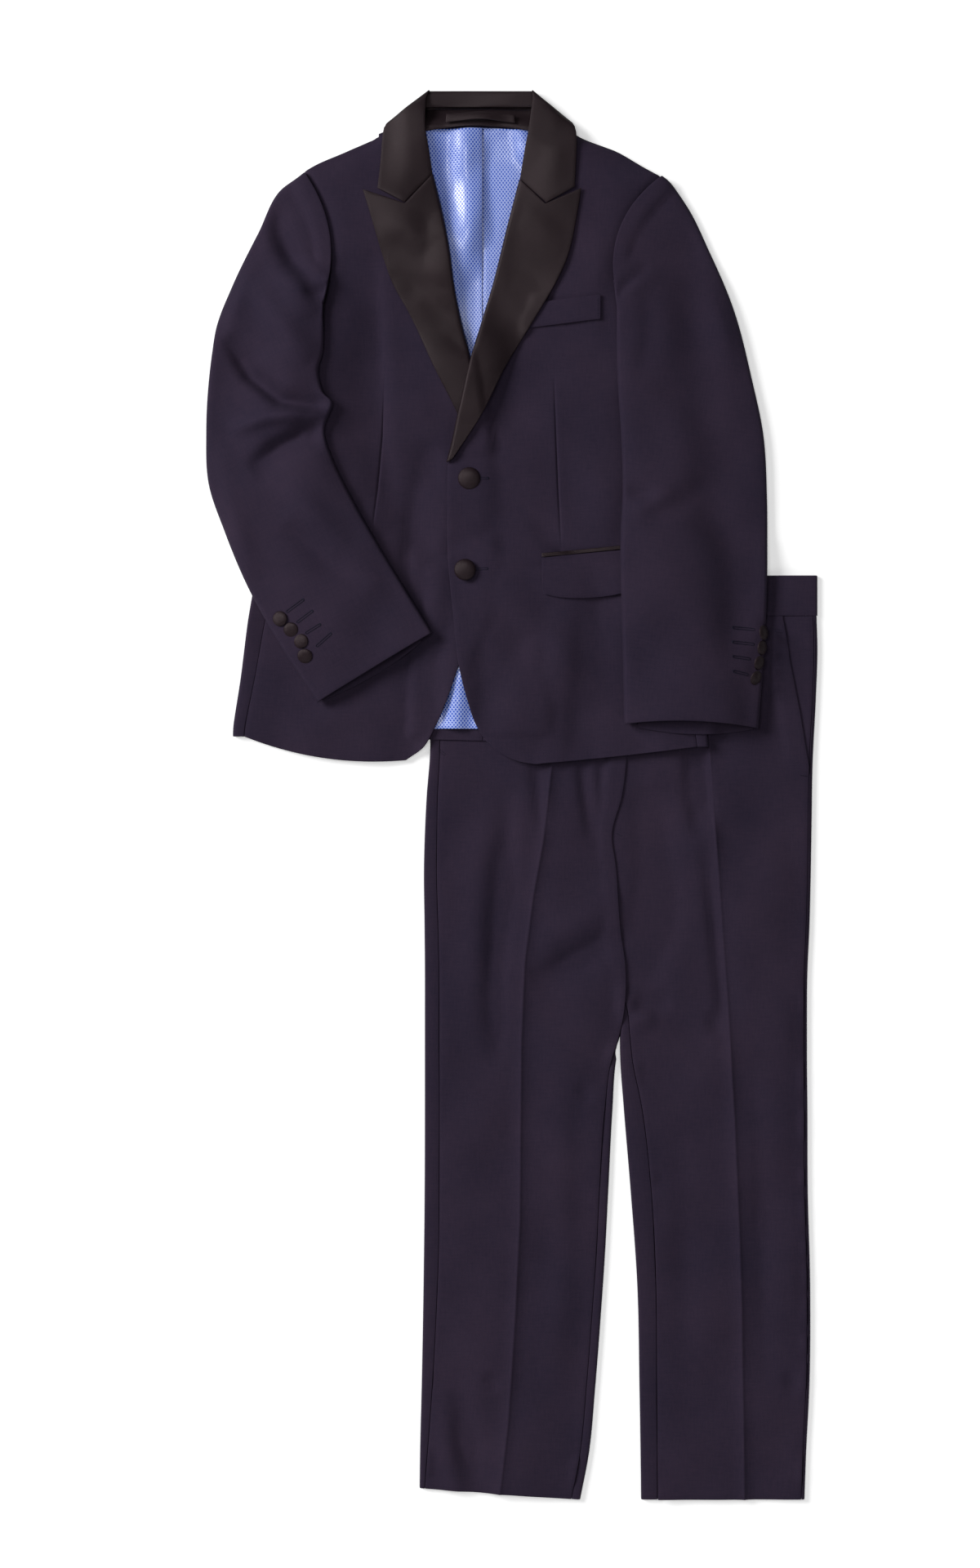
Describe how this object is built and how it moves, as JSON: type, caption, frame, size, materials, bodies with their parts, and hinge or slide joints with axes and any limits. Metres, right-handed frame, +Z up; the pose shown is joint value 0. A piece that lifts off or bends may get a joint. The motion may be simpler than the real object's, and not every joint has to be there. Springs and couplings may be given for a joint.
{
  "type": "tuxedo",
  "caption": "Child's dark two-piece tuxedo laid flat: peak-lapel jacket with satin facings over its pressed trousers.",
  "frame": {"origin": "centre of the laid suit's outline, on the surface it lies on", "axes": "+Y from the trouser hems to the collar, +X to the wearer's left, +Z up from the surface"},
  "size_m": [0.56, 1.2927, 0.0301],
  "materials": {
    "wool": "matt fine worsted",
    "satin": "satin with a soft sheen",
    "lining": "shiny woven lining"
  },
  "bodies": {
    "root": {"trouser_front_left": "wool", "trouser_front_right": "wool", "trouser_back_left": "wool", "trouser_back_right": "wool", "waistband_front": "wool", "waistband_back": "wool", "pocket_facing": "wool", "back_left": "wool", "back_right": "wool", "side_left": "wool", "side_right": "wool", "front_left": "wool", "front_right": "wool", "lapel_left": "satin", "lapel_right": "satin", "collar": "satin", "collar_stand": "wool", "neck_facing": "wool", "hanger_loop": "wool", "lining_left": "lining", "lining_right": "lining", "breast_welt": "wool", "pocket_jet": "satin", "pocket_flap": "wool", "top_sleeve_left": "wool", "top_sleeve_right": "wool", "under_sleeve_left": "wool", "under_sleeve_right": "wool", "front_button_upper": "satin", "front_button_lower": "satin", "cuff_button_right_1": "satin", "cuff_button_right_2": "satin", "cuff_button_right_3": "satin", "cuff_button_right_4": "satin", "cuff_button_left_1": "satin", "cuff_button_left_2": "satin", "cuff_button_left_3": "satin", "cuff_button_left_4": "satin"}
  },
  "joints": []
}
